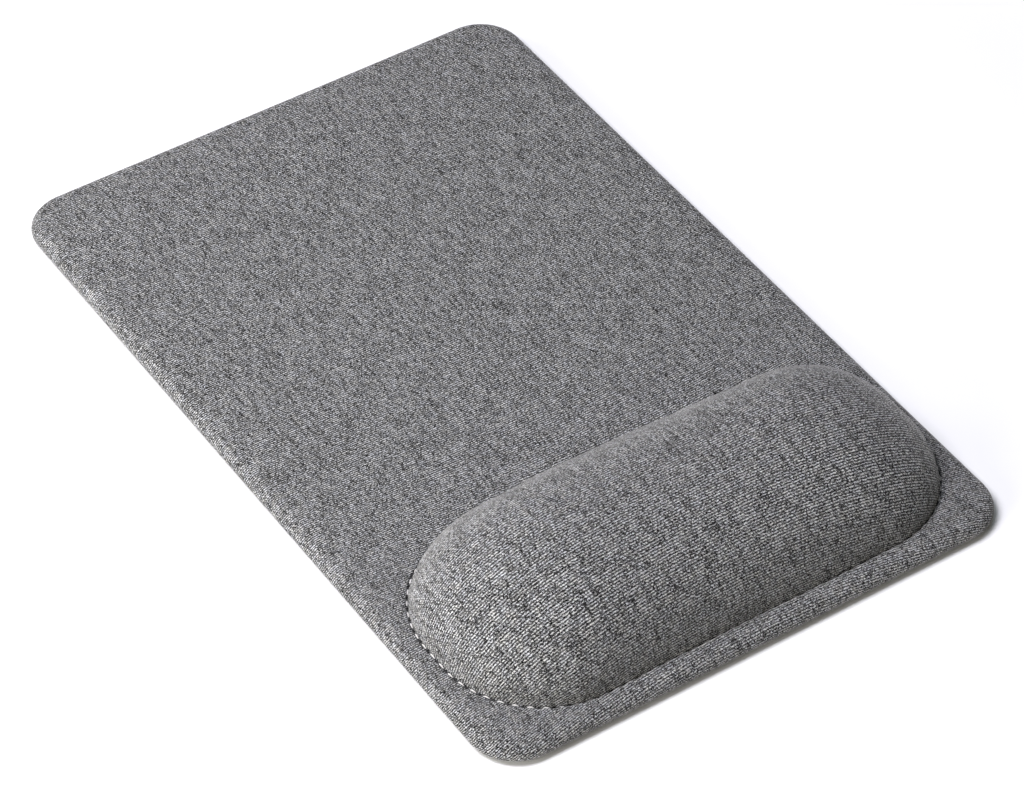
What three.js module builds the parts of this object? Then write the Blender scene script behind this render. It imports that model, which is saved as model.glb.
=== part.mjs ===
// Desk pad with a padded wrist rest, a glued and sewn sandwich. One stretch-knit cover is pulled over a thin foam
// pad and a crowned foam cushion. A lockstitch round the cushion's foot draws the cover down into a seam, and the
// cover's edge is turned under the rim as a hem. A stiff board fills the window that the hem leaves, and a
// non-slip sheet closes the underside.
//
// Lengths are millimetres. +Z is up, +Y points away from the user, and the origin is the centre of the underside.
import * as THREE from 'three';

// Pad outline
const padWidth = 150;
const padLength = 230;
const padCornerRadius = 12.5;

// Layers, from the desk up
const baseThickness = 0.85;
const baseInset = 1.8;
const baseEdgeBevel = 0.2;
const coverThickness = 0.8;
const foamThickness = 2.5;
const glueLine = 0.15;

// Hem, turned under the rim, and the board in its window
const hemWidth = 12;
const hemCornerRadius = 4;
const boardClearance = 0.5;

// Rim: a soft rounded edge that is widest low down
const rimTopDepth = 2.8;
const rimBottomDepth = 1.4;
const rimWidestShare = 0.32;
const rimTopAngleShares = [0.33, 0.67, 1];
const rimBottomAngleShares = [0, 0.5, 1];

// Seam round the foot of the wrist rest
const rimLand = 0.2;
const seamLipWidth = 1;
const seamFloorWidth = 1.3;
const seamDepth = 0.9;

// Wrist rest: its foot, its crown and its rounded ends
const restDepth = 62.8;
const restRise = 21.2;
const restSetback = 1;
const restCornerRadius = 27.3;
const restEndRun = 41.5;
const restTuck = 0.5;
const restCrownPower = 2.2;
const restEndFlatShare = 0.04;
const restTuckAngleShare = 0.3;
const restAngleShares = [0.08, 0.17, 0.29, 0.43, 0.59, 0.76, 0.93];
const cushionGap = 0.3;

// Lockstitch: a needle thread on top and a bobbin thread under the foam
const threadDiameter = 0.36;
const threadGap = 0.3;
const stitchPitch = 3.7;
const needleRise = 0.4;
const lockRise = 0.15;
const needleSides = 5;
const needleStepsPerStitch = 4;
const bobbinSides = 4;
const bobbinStepsPerStitch = 2;

// Facets in each quarter round of an outline
const cornerSteps = 8;
const arcDivisions = cornerSteps / 2;
const quarterTurn = Math.PI / 2;

// Levels, from the desk up
const hemLevel = baseThickness + glueLine;
const foamLevel = hemLevel + coverThickness + glueLine;
const foamTopLevel = foamLevel + foamThickness;
const coverTopLevel = foamTopLevel + glueLine + coverThickness;
const seamFloorLevel = coverTopLevel - seamDepth;
const rimHeight = coverTopLevel - hemLevel;

// Place of the wrist rest, its foot set in from the rim by the width of the seam
const footMargin = rimTopDepth + rimLand + seamLipWidth + seamFloorWidth;
const footHalfX = padWidth / 2 - footMargin;
const footHalfY = restDepth / 2;
const restCentreY = footHalfY + footMargin + restSetback - padLength / 2;
const restPlace = new THREE.Vector3(0, restCentreY, seamFloorLevel);
const restHeight = restRise + seamDepth;
const footCornerRadius = roundEnd(footHalfY);
const seamCentre = seamFloorWidth / 2;

/** The corner radius of one of the rest's outlines: a short flat always stays at each end. */
function roundEnd(halfY) {
  return Math.min(restCornerRadius, halfY * (1 - restEndFlatShare));
}

/** A rounded rectangle about the origin, drawn as four quarter rounds joined by straight sides. */
function roundedRectangle(halfX, halfY, radius) {
  const x = halfX - radius;
  const y = halfY - radius;
  const shape = new THREE.Shape();
  shape.absarc(x, y, radius, 0, quarterTurn);
  shape.absarc(-x, y, radius, quarterTurn, 2 * quarterTurn);
  shape.absarc(-x, -y, radius, 2 * quarterTurn, 3 * quarterTurn);
  shape.absarc(x, -y, radius, 3 * quarterTurn, 4 * quarterTurn);
  return shape;
}

/** The same outline as a ring of points at one level. Every ring has as many points as every other. */
function ring(halfX, halfY, radius, z) {
  return roundedRectangle(halfX, halfY, radius)
    .getPoints(arcDivisions)
    .map((point) => new THREE.Vector3(point.x, point.y, z));
}

/** The pad's outline, set in by a distance, with a corner that is never tighter than the given radius. */
function padRing(inset, z, leastRadius = 0) {
  const radius = Math.max(padCornerRadius - inset, leastRadius);
  return ring(padWidth / 2 - inset, padLength / 2 - inset, radius, z);
}

/** The outline of the wrist rest's foot, grown by a distance, in the rest's own place. */
function footRing(growth, z) {
  return ring(footHalfX + growth, footHalfY + growth, footCornerRadius + growth, z);
}

/** Rings moved by one vector. */
function moved(rings, offset) {
  return rings.map((points) => points.map((point) => point.clone().add(offset)));
}

/** Outward normals of the band between two rings, one for each point of the first. */
function bandNormals(ringBefore, ringAfter, turnedOn) {
  const count = turnedOn.length;
  return turnedOn.map((point, i) => {
    const along = turnedOn[(i + 1) % count].clone().sub(turnedOn[(i + count - 1) % count]);
    const step = ringAfter[i].clone().sub(ringBefore[i]);
    return along.cross(step).normalize();
  });
}

/** Rings of the surface that lies a distance inside the given one, with mitred turns, as a shell's inner wall. */
function parallel(rings, distance) {
  return rings.map((points, r) => {
    const before = bandNormals(rings[Math.max(r - 1, 0)], rings[Math.max(r, 1)], points);
    const after = bandNormals(rings[Math.min(r, rings.length - 2)], rings[Math.min(r + 1, rings.length - 1)], points);
    return points.map((point, i) => {
      const reach = distance / (1 + before[i].dot(after[i]));
      return point.clone().addScaledVector(before[i].clone().add(after[i]), -reach);
    });
  });
}

/** A solid through a row of rings: either capped at both ends or, as a loop, joined to itself. */
function loft(rings, looped = false) {
  const count = rings[0].length;
  const bands = looped ? rings.length : rings.length - 1;
  const indices = [];
  for (let r = 0; r < bands; r += 1) {
    const near = r * count;
    const far = ((r + 1) % rings.length) * count;
    for (let i = 0; i < count; i += 1) {
      const next = (i + 1) % count;
      indices.push(near + i, near + next, far + next);
      indices.push(near + i, far + next, far + i);
    }
  }
  if (!looped) {
    const last = (rings.length - 1) * count;
    for (const [a, b, c] of THREE.ShapeUtils.triangulateShape(rings[0], [])) {
      indices.push(c, b, a);
    }
    for (const [a, b, c] of THREE.ShapeUtils.triangulateShape(rings[rings.length - 1], [])) {
      indices.push(last + a, last + b, last + c);
    }
  }
  const geometry = new THREE.BufferGeometry().setFromPoints(rings.flat());
  geometry.setIndex(indices);
  geometry.computeVertexNormals();
  return geometry;
}

/** The outside of the turned rim, from where the hem lies flat to the pad's top. */
function rimRings() {
  const widest = rimHeight * rimWidestShare;
  const bottom = rimBottomAngleShares.map((share) => {
    const angle = quarterTurn * share;
    return padRing(rimBottomDepth * (1 - Math.sin(angle)), hemLevel + widest * (1 - Math.cos(angle)));
  });
  const top = rimTopAngleShares.map((share) => {
    const angle = quarterTurn * share;
    const rise = (rimHeight - widest) * Math.sin(angle);
    return padRing(rimTopDepth * (1 - Math.cos(angle)), hemLevel + widest + rise);
  });
  return [...bottom, ...top];
}

/** The outside of the seam, from its lip on the pad's top to its floor, in the rest's own place. */
function seamRings() {
  return [footRing(seamFloorWidth + seamLipWidth, seamDepth), footRing(seamFloorWidth, 0)];
}

/** The outside of the crowned rest, from its foot to its crest, in the rest's own place. */
function crownRings() {
  const crown = restAngleShares.map((share) => {
    const angle = quarterTurn * share;
    const closing = 1 - Math.cos(angle) ** (2 / restCrownPower);
    const tuck = restTuck * Math.sin(Math.PI * Math.min(share / restTuckAngleShare, 1));
    const halfX = footHalfX - restEndRun * closing + tuck;
    const halfY = footHalfY * (1 - closing) + tuck;
    return ring(halfX, halfY, roundEnd(halfY), restHeight * Math.sin(angle));
  });
  return [footRing(0, 0), ...crown];
}

/** The whole outside of the cover, from the hem's raw edge over the rim and the seam to the rest's crest. */
function coverRings() {
  const hemEdge = padRing(hemWidth, hemLevel, hemCornerRadius);
  return [hemEdge, ...rimRings(), ...moved([...seamRings(), ...crownRings()], restPlace)];
}

/** The cover: one cloth of even thickness, closed over the rest's crest and open under the pad. */
function topCover() {
  const outside = coverRings();
  const inside = parallel(outside, coverThickness);
  return loft([...inside.reverse(), ...outside]);
}

/** The cushion inside the rest, flat where it is glued to the pad's foam. */
function wristCushion() {
  const bottom = seamDepth - coverThickness;
  const rings = parallel(crownRings(), coverThickness + cushionGap);
  rings[0].forEach((point) => point.setZ(bottom));
  return loft(rings);
}

/** The foam under the cover, pinched by the seam from above and channelled for the bobbin thread from below. */
function padFoam() {
  const setBack = coverThickness + glueLine;
  const outside = coverRings();
  const footIndex = outside.length - crownRings().length;
  const skin = parallel(outside, setBack).slice(1, footIndex + 1);
  const foamTop = foamTopLevel - seamFloorLevel;
  const foamBottom = foamLevel - seamFloorLevel;
  const channelRoof = foamBottom + threadDiameter + lockRise + threadGap;
  const channelHalf = threadDiameter / 2 + threadGap;
  const channel = [
    footRing(seamCentre - channelHalf, foamBottom),
    footRing(seamCentre - channelHalf, channelRoof),
    footRing(seamCentre + channelHalf, channelRoof),
    footRing(seamCentre + channelHalf, foamBottom),
  ];
  const underRest = footRing(-setBack - seamLipWidth, foamTop);
  return loft([...moved(channel, restPlace), ...skin, ...moved([underRest], restPlace)]);
}

/** A flat sheet with the pad's outline, set in by a distance, with a bevel on its edges. */
function sheet(inset, thickness, leastRadius, bevel) {
  const radius = Math.max(padCornerRadius - inset, leastRadius) - bevel;
  const shape = roundedRectangle(padWidth / 2 - inset - bevel, padLength / 2 - inset - bevel, radius);
  const geometry = new THREE.ExtrudeGeometry(shape, {
    depth: thickness - 2 * bevel,
    curveSegments: arcDivisions,
    bevelEnabled: bevel > 0,
    bevelThickness: bevel,
    bevelSize: bevel,
    bevelSegments: 1,
  });
  return geometry.translate(0, 0, bevel);
}

/** A thread laid along the middle of the seam, with its height over each stitch given by a function of phase. */
function sewnThread(sides, stepsPerStitch, level, heightAt) {
  const path = roundedRectangle(footHalfX + seamCentre, footHalfY + seamCentre, footCornerRadius + seamCentre);
  path.closePath();
  const stitches = Math.round(path.getLength() / stitchPitch);
  const steps = stitches * stepsPerStitch;
  const points = path.getSpacedPoints(steps).slice(0, steps);
  const up = new THREE.Vector3(0, 0, 1);
  const centres = points.map((point, i) => {
    const phase = (i % stepsPerStitch) / stepsPerStitch;
    return new THREE.Vector3(point.x, point.y, level + heightAt(phase));
  });
  const rings = centres.map((centre, i) => {
    const ahead = centres[(i + 1) % steps].clone().sub(centres[(i + steps - 1) % steps]);
    const outward = ahead.clone().cross(up).normalize();
    const upward = outward.clone().cross(ahead).normalize();
    return Array.from({ length: sides }, (_, k) => {
      const angle = (4 * quarterTurn * (k + 1 / 2)) / sides;
      return centre
        .clone()
        .addScaledVector(outward, (threadDiameter / 2) * Math.cos(angle))
        .addScaledVector(upward, (-threadDiameter / 2) * Math.sin(angle));
    });
  });
  return loft(rings, true);
}

/** The needle thread rises out of the seam in each stitch and dips at each needle hole. */
function needleThread() {
  const level = threadGap + threadDiameter / 2;
  const height = (phase) => needleRise * Math.sin(Math.PI * phase);
  return sewnThread(needleSides, needleStepsPerStitch, level, height);
}

/** The bobbin thread lies under the foam and is pulled up at each needle hole. */
function bobbinThread() {
  const level = foamLevel - seamFloorLevel + threadDiameter / 2;
  const height = (phase) => lockRise * (1 - Math.sin(Math.PI * phase));
  return sewnThread(bobbinSides, bobbinStepsPerStitch, level, height);
}

/** A named mesh with its own finish. */
function piece(name, geometry, color, roughness) {
  const mesh = new THREE.Mesh(geometry, new THREE.MeshStandardMaterial({ color, roughness, metalness: 0 }));
  mesh.name = name;
  return mesh;
}

const boardInset = hemWidth + boardClearance;
const board = piece('backing_board', sheet(boardInset, coverThickness, hemCornerRadius, 0), 0x8f8878, 0.9);
board.position.z = hemLevel;

const base = piece('base_sheet', sheet(baseInset, baseThickness, baseEdgeBevel, baseEdgeBevel), 0x26272a, 0.8);

const padLayers = new THREE.Group();
padLayers.add(base, board);
padLayers.add(piece('pad_foam', padFoam(), 0x3b3c3f, 0.95));
padLayers.add(piece('top_cover', topCover(), 0x7c7b7f, 0.95));

const wristRest = new THREE.Group();
wristRest.position.copy(restPlace);
wristRest.add(piece('wrist_cushion', wristCushion(), 0xd9d3c2, 0.95));
wristRest.add(piece('needle_thread', needleThread(), 0xd6d3cf, 0.7));
wristRest.add(piece('bobbin_thread', bobbinThread(), 0xd6d3cf, 0.7));

const deskPad = new THREE.Group();
deskPad.add(padLayers, wristRest);

export default deskPad;
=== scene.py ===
"""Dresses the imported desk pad: one knit cover over a foam pad and a sewn-in wrist rest, on a non-slip sheet.

Lengths are metres in the frame of the CAD model: +Z is up, +Y points away from the user, and the origin is
the centre of the underside.
"""

import logging
import math
from dataclasses import dataclass, field, replace
from enum import Enum
from typing import Callable, NamedTuple, Union

import bmesh
import bpy
import numpy as np
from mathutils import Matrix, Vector


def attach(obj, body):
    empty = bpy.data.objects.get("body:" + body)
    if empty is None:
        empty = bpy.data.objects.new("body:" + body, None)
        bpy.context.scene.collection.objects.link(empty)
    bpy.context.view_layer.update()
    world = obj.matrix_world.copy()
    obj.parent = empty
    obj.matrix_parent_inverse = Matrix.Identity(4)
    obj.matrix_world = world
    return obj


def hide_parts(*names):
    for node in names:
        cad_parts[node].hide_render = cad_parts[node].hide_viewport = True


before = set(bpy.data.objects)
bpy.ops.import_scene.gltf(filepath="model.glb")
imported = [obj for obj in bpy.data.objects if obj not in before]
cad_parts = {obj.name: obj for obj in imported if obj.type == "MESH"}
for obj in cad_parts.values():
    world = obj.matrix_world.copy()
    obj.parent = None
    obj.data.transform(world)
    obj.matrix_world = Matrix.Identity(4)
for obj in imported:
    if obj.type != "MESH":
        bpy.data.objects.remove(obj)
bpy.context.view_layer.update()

LOG = logging.getLogger("desk_pad")
MM = 0.001
QUARTER = math.pi / 2
TURN = 2 * math.pi
LEAST_RADIUS = 1e-9
GLUE_GAP = 0.15 * MM
BODY = "root"

Value = Union["Sock", float]
Color = tuple[float, float, float]
Hue = Union["Sock", Color]
Spot = tuple[float, float, float]
Points = np.ndarray


# shader building


def math_method(operation: str, swapped: bool = False) -> Callable[..., "Sock"]:
    """Makes a method of Sock that adds one Math node.

    Args:
        operation: what the node does.
        swapped: whether the other value comes first.

    Returns:
        The method.
    """

    def method(self: "Sock", other: Value = 0.0) -> "Sock":
        """The node's result for this value and another."""
        return self.build.math(operation, *((other, self) if swapped else (self, other)))

    return method


class Sock:
    """One output of a shader node. Sums written with it add Math nodes."""

    __add__ = math_method("ADD")
    __radd__ = math_method("ADD", swapped=True)
    __sub__ = math_method("SUBTRACT")
    __rsub__ = math_method("SUBTRACT", swapped=True)
    __mul__ = math_method("MULTIPLY")
    __truediv__ = math_method("DIVIDE")
    __pow__ = math_method("POWER")
    floor = math_method("FLOOR")
    fraction = math_method("FRACT")
    sine = math_method("SINE")

    def __init__(self, build: "NodeBuild", socket: bpy.types.NodeSocket) -> None:
        """Wraps a socket.

        Args:
            build: the material or world that the socket belongs to.
            socket: the output socket.
        """
        self.build = build
        self.socket = socket

    def clamped(self) -> "Sock":
        """This value held between nought and one."""
        return self.build.math("MINIMUM", self.build.math("MAXIMUM", self, 0.0), 1.0)

    def smooth(self, low: float, high: float) -> "Sock":
        """A soft step.

        Args:
            low: the value at which the step is nought.
            high: the value at which the step is one.

        Returns:
            The step's socket.
        """
        settings = {"interpolation_type": "SMOOTHSTEP"}
        return self.build.node("MapRange", settings, {"Value": self, "From Min": low, "From Max": high})


class Blend(Enum):
    """How two colours are mixed."""

    EVEN = "MIX"
    PRODUCT = "MULTIPLY"


class NodeBuild:
    """The nodes of one material or world."""

    def __init__(self, owner: bpy.types.Material | bpy.types.World) -> None:
        """Takes an owner's node tree over.

        Args:
            owner: the material or world.
        """
        owner.use_nodes = True
        self.owner = owner
        self.tree = owner.node_tree

    def feed(self, socket: bpy.types.NodeSocket, value: object) -> None:
        """Gives an input socket a link or a fixed value.

        Args:
            socket: the input socket.
            value: a Sock, a number or a row of numbers.
        """
        if isinstance(value, Sock):
            self.tree.links.new(value.socket, socket)
        else:
            socket.default_value = value

    def node(self, kind: str, settings: dict, inputs: dict, out: str | int = 0) -> Sock:
        """Adds any node.

        Args:
            kind: the node's type without its ShaderNode prefix.
            settings: its settings, which are set before its sockets. A ramp's stops are given as "stops".
            inputs: values or links by socket name or number.
            out: the output socket's name or number.

        Returns:
            The chosen output.
        """
        node = self.tree.nodes.new("ShaderNode" + kind)
        for key, value in settings.items():
            if key == "stops":
                self.set_stops(node.color_ramp, value)
            else:
                setattr(node, key, value)
        for key, value in inputs.items():
            self.feed(node.inputs[key], value)
        return Sock(self, node.outputs[out])

    @staticmethod
    def set_stops(ramp: bpy.types.ColorRamp, stops: list[tuple[float, Color]]) -> None:
        """Sets a colour ramp's stops.

        Args:
            ramp: the ramp.
            stops: the place and the colour of each stop, in order.
        """
        while len(ramp.elements) < len(stops):
            ramp.elements.new(1.0)
        for element, (place, color) in zip(ramp.elements, stops):
            element.position = place
            element.color = (*color, 1.0)

    def math(self, operation: str, first: Value, second: Value = 0.0) -> Sock:
        """Adds a Math node with one operation on two values."""
        return self.node("Math", {"operation": operation}, {0: first, 1: second})

    def vector(self, x: Value, y: Value, z: Value = 0.0) -> Sock:
        """Joins three values into a vector."""
        return self.node("CombineXYZ", {}, {"X": x, "Y": y, "Z": z})

    def parts(self, vector: Sock) -> list[Sock]:
        """Splits a vector into its three values."""
        node = self.node("SeparateXYZ", {}, {0: vector}).socket.node
        return [Sock(self, output) for output in node.outputs]

    def uv(self, name: str) -> list[Sock]:
        """The two coordinates of a piece's own UV map."""
        return self.parts(self.node("UVMap", {"uv_map": name}, {}))[:2]

    def place(self) -> list[Sock]:
        """The three Object coordinates."""
        return self.parts(self.node("TexCoord", {}, {}, "Object"))

    def place_in(self, unit: float, stretch: float = 1.0) -> Sock:
        """The Object coordinates counted in a unit, with Y read at a stretch of its own."""
        x, y, z = self.place()
        return self.vector(x / unit, y / unit * stretch, z / unit)

    def noise(self, vector: Sock, scale: float = 1.0, detail: float = 0.0, roughness: float = 0.5) -> Sock:
        """A noise's value.

        Args:
            vector: the place at which it is read.
            scale: how many features one unit holds.
            detail: how many finer layers it has.
            roughness: how strong the finer layers are.

        Returns:
            A value round one half.
        """
        inputs = {"Vector": vector, "Scale": scale, "Detail": detail, "Roughness": roughness}
        return self.node("TexNoise", {}, inputs)

    def mix(self, factor: Value, first: Hue, second: Hue, blend: Blend = Blend.EVEN) -> Sock:
        """Mixes two colours.

        Args:
            factor: the share of the second colour.
            first: the first colour.
            second: the second colour.
            blend: how they are mixed.

        Returns:
            The mixed colour.
        """
        first, second = (color if isinstance(color, Sock) else (*color, 1.0) for color in (first, second))
        settings = {"data_type": "RGBA", "blend_type": blend.value}
        return self.node("Mix", settings, {0: factor, 6: first, 7: second}, 2)

    def bump(self, height: Sock, distance: float) -> Sock:
        """A Bump node over one height, whose unit is the distance."""
        return self.node("Bump", {}, {"Height": height, "Distance": distance, "Strength": 1.0})

    def seen_directly(self) -> Sock:
        """One for rays that show the backdrop itself, and nought for rays that only carry its light."""
        kinds = ("Camera", "Glossy", "Transmission")
        return sum(self.node("LightPath", {}, {}, f"Is {kind} Ray") for kind in kinds).clamped()


class MaterialBuild(NodeBuild):
    """The nodes of one material, with its Principled shader and its output in place."""

    def __init__(self, name: str) -> None:
        """Starts a material.

        Args:
            name: the material's name.
        """
        super().__init__(bpy.data.materials.new(name))
        self.tree.nodes.clear()
        surface = self.node("BsdfPrincipled", {}, {})
        self.shader = surface.socket.node
        output = self.tree.nodes.new("ShaderNodeOutputMaterial")
        self.feed(output.inputs["Surface"], surface)

    def finish(self, **inputs: object) -> bpy.types.Material:
        """Sets the shader's sockets and hands the material over.

        Args:
            inputs: values or links by socket name, with spaces written as underscores.

        Returns:
            The finished material.
        """
        for name, value in inputs.items():
            socket = self.shader.inputs[name.replace("_", " ")]
            self.feed(socket, (*value, 1.0) if isinstance(value, tuple) else value)
        return self.owner


# finishes


@dataclass(frozen=True)
class KnitFinish:
    """Heathered stretch knit, read on the cover's own map, which holds flat-cloth metres.

    Stitches lie in offset rows, each a short slanted dash of a few strands that are pale or dark, with loose
    fibres over them. A share says how strongly a thing works on the tone, and a scale how many features one
    millimetre has. Painted shade darkens the gaps between stitches and rows, the seam's crease and needle
    holes, and the low front wall of the rest.
    """

    column_pitch: float = 0.65 * MM
    row_pitch: float = 0.64 * MM
    slant: float = math.radians(-20)
    half_length: float = 0.42 * MM
    half_width: float = 0.23 * MM
    strand_width: float = 0.11 * MM
    strand_length: float = 0.32 * MM
    strand_rows: float = 17.0
    roundness: float = 0.42
    # painted shade in the gaps between stitches and in the grooves between rows
    gap_shade: float = 0.30
    row_shade: float = 0.20
    ridge_share: float = 0.3
    wander: float = 0.26 * MM
    wander_scale: float = 0.9
    unevenness: float = 0.12 * MM
    stitch_share: float = 0.3
    strand_share: float = 1.6
    fibre_share: float = 1.0
    fibre_scale: tuple[float, float] = (1.6, 5.0)
    fibre_offset: tuple[float, float] = (5.7, 3.1)
    loose_share: float = 3.6
    loose_scale: tuple[float, float] = (1.7, 4.2)
    loose_lean: tuple[float, float] = (0.5, 0.3)
    fleck_share: float = 0.4
    fleck_scale: float = 1.6
    cloud_share: float = 0.24
    cloud_scale: float = 0.22
    streak_share: float = 1.2
    streak_width: float = 0.95 * MM
    streak_length: float = 7.5 * MM
    dark: Color = (0.004, 0.004, 0.004)
    middle: Color = (0.236, 0.237, 0.234)
    pale: Color = (0.655, 0.658, 0.65)
    warm: Color = (1.012, 0.996, 0.965)
    cool: Color = (0.975, 0.985, 1.03)
    tint_scale: float = 0.45
    tint_edges: tuple[float, float] = (0.3, 0.7)
    relief: float = 0.07 * MM
    fibre_relief: float = 0.35
    stitch_relief: float = 0.25
    # painted shade in each needle hole and along the seam's crease
    hole_half_length: float = 0.17
    hole_reach: float = 0.52 * MM
    hole_edge: float = 0.3
    hole_painted_shade: float = 0.12
    crease_shade: float = 0.34
    crease_floor: float = 0.1 * MM
    crease_reach: float = 0.75 * MM
    # painted shade low on the rest's front wall, above its foot
    wall_shade: float = 0.13
    wall_top: float = 99.0 * MM
    wall_foot: float = 107.0 * MM
    wall_base: float = 5.5 * MM

    def material(self) -> bpy.types.Material:
        """Builds the knit.

        Returns:
            The cover's material.
        """
        build = MaterialBuild("heathered_knit")
        u, v = build.uv("cloth")
        cloth = build.vector(u / MM, v / MM)
        wander = {"Vector": cloth, "Scale": self.wander_scale, "Detail": 1.0}
        drift_u, drift_v, _ = build.parts(build.node("TexNoise", {}, wander, "Color"))
        rows = (v + (drift_v - 0.5) * self.wander) / self.row_pitch
        row = rows.floor()
        columns = (u + (drift_u - 0.5) * (self.wander * 2)) / self.column_pitch + (row * 0.5).fraction()
        column = columns.floor()
        at_stitch = build.vector(column, row)
        cast = build.node("TexWhiteNoise", {"noise_dimensions": "2D"}, {"Vector": at_stitch}, "Color")
        shift_x, shift_y, stitch = build.parts(cast)
        x = (columns - column - 0.5) * (self.column_pitch / MM) + (shift_x - 0.5) * (self.unevenness * 2 / MM)
        y = (rows - row - 0.5) * (self.row_pitch / MM) + (shift_y - 0.5) * (self.unevenness / MM)
        along = x * math.cos(self.slant) + y * math.sin(self.slant)
        across = y * math.cos(self.slant) - x * math.sin(self.slant)
        reach = (along / (self.half_length / MM)) ** 2.0 + (across / (self.half_width / MM)) ** 2.0
        dash = (1.0 - reach).clamped() ** self.roundness

        lane = (across / (self.strand_width / MM)).floor()
        piece = (along / (self.strand_length / MM)).floor()
        at_strand = build.vector(column, row, lane + piece * self.strand_rows)
        strand = build.node("TexWhiteNoise", {"noise_dimensions": "3D"}, {"Vector": at_strand})
        fibre_u = along * self.fibre_scale[0] + column * self.fibre_offset[0]
        fibre_v = across * self.fibre_scale[1] + row * self.fibre_offset[1]
        fibre = build.noise(build.vector(fibre_u, fibre_v), detail=1.0)
        loose_u = (u + v * self.loose_lean[0]) * (self.loose_scale[0] / MM)
        loose_v = (v - u * self.loose_lean[1]) * (self.loose_scale[1] / MM)
        loose = build.noise(build.vector(loose_u, loose_v), detail=1.0)
        streaks = build.vector(u / self.streak_width, v / self.streak_length)
        layers = (
            (stitch, self.stitch_share),
            (strand, self.strand_share),
            (fibre, self.fibre_share),
            (loose, self.loose_share),
            (build.noise(cloth, self.fleck_scale, detail=1.0, roughness=0.6), self.fleck_share),
            (build.noise(cloth, self.cloud_scale, detail=2.0, roughness=0.55), self.cloud_share),
            (build.noise(streaks, detail=1.0), self.streak_share),
        )
        tone = sum((layer - 0.5) * share for layer, share in layers) + 0.5
        stops = [(0.0, self.dark), (0.5, self.middle), (1.0, self.pale)]
        blend = build.node("ValToRGB", {"stops": stops}, {"Fac": tone.clamped()})
        warmth = build.noise(cloth, self.tint_scale, detail=2.0, roughness=0.6)
        tint = build.mix(warmth.smooth(*self.tint_edges), self.warm, self.cool)
        ridge = (1.0 - (y / (self.row_pitch * 0.5 / MM)) ** 2.0).clamped()
        # painted shade in the grooves between rows and in the gaps between stitches
        painted_groove_shade = ridge * (1.0 - self.row_shade) + self.row_shade
        painted_gap_shade = dash * (1.0 - self.gap_shade) + self.gap_shade
        # all the painted shade together, which darkens the colour below
        shade = painted_gap_shade * painted_groove_shade * self.painted_seam_shade(build) * self.painted_wall_shade(build)
        tinted = build.mix(1.0, blend, tint, Blend.PRODUCT)
        height = dash + ridge * self.ridge_share + fibre * self.fibre_relief + stitch * self.stitch_relief
        return build.finish(
            Base_Color=build.mix(1.0, tinted, build.vector(shade, shade, shade), Blend.PRODUCT),
            Roughness=0.92,
            Specular_IOR_Level=0.15,
            Sheen_Weight=0.34,
            Sheen_Roughness=0.35,
            Sheen_Tint=(0.92, 0.9, 0.88),
            Normal=build.bump(height, self.relief),
        )

    def painted_seam_shade(self, build: NodeBuild) -> Sock:
        """Paints shade into the cloth in the seam's crease and at each needle hole, read on the seam's own
        map.

        Args:
            build: the cover's material.

        Returns:
            One on plain cloth, less in the crease and near nought in a hole, as painted shade.
        """
        place, away = build.uv("seam")
        along = (place + 0.5).fraction() - 0.5
        reach = (along / self.hole_half_length) ** 2.0 + (away / self.hole_reach) ** 2.0
        # painted shade in each needle hole, then along the seam's crease
        hole = reach.smooth(self.hole_edge, 1.0) * (1.0 - self.hole_painted_shade) + self.hole_painted_shade
        open_cloth = away.smooth(self.crease_floor, self.crease_reach)
        return hole * (open_cloth * (1.0 - self.crease_shade) + self.crease_shade)

    def painted_wall_shade(self, build: NodeBuild) -> Sock:
        """Paints shade on the tucked wall above the rest's front foot, where the cloth is drawn in.

        Args:
            build: the cover's material.

        Returns:
            One on plain cloth and a little less low on the rest's front wall, as painted shade.
        """
        _, y, z = build.place()
        # painted shade on the lower front wall of the rest
        near_front = (0.0 - y).smooth(self.wall_top, self.wall_foot)
        return 1.0 - near_front * z.smooth(self.wall_base, self.wall_base + MM) * self.wall_shade


@dataclass(frozen=True)
class ThreadFinish:
    """Pale twisted sewing thread with some fuzz. Its map runs along the thread and once round it."""

    color: Color = (0.78, 0.77, 0.75)
    shadow: Color = (0.50, 0.48, 0.46)
    twist_pitch: float = 0.5 * MM
    plies: float = 3.0
    ply_share: float = 0.8
    fuzz_scale: float = 6.0
    fuzz_share: float = 0.4
    fuzz_relief: float = 0.3
    fuzz_roughness: float = 0.2
    relief: float = 0.04 * MM

    def material(self) -> bpy.types.Material:
        """Builds the thread.

        Returns:
            The thread's material.
        """
        build = MaterialBuild("sewing_thread")
        along, around = build.uv("thread")
        turn = (along / self.twist_pitch + around * self.plies) * TURN
        ply = turn.sine() * 0.5 + 0.5
        at = build.vector(along / MM, around * self.fuzz_scale)
        fuzz = build.noise(at, self.fuzz_scale, detail=2.0)
        lit = (ply * self.ply_share + fuzz * self.fuzz_share).clamped()
        return build.finish(
            Base_Color=build.mix(lit, self.shadow, self.color),
            Roughness=0.6 + fuzz * self.fuzz_roughness,
            Sheen_Weight=0.2,
            Normal=build.bump(ply + fuzz * self.fuzz_relief, self.relief),
        )


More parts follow.
